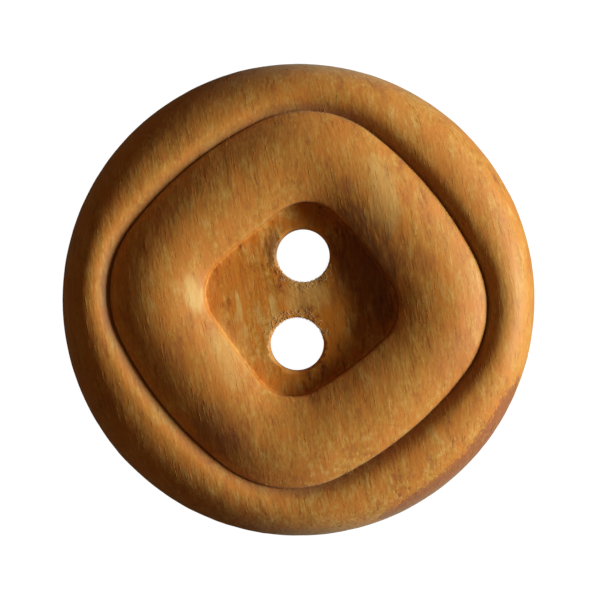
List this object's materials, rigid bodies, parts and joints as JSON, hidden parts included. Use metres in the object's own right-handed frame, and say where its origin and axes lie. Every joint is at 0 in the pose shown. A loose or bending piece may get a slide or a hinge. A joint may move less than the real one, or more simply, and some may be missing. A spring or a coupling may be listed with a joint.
{
  "type": "sew-on button",
  "caption": "Round wooden sew-on button with a soft-square ridge, a milled groove, a rounded rim and a square hollow with thread holes.",
  "frame": {"origin": "centre of the flat back", "axes": "+Z out of the front face, +Y along the line through the thread holes, +X across it; the corners of the ridge point along X and Y"},
  "size_m": [0.023, 0.023, 0.0044],
  "materials": {
    "button_wood": "satin"
  },
  "bodies": {
    "root": {"button_disc": "button_wood"}
  },
  "joints": []
}
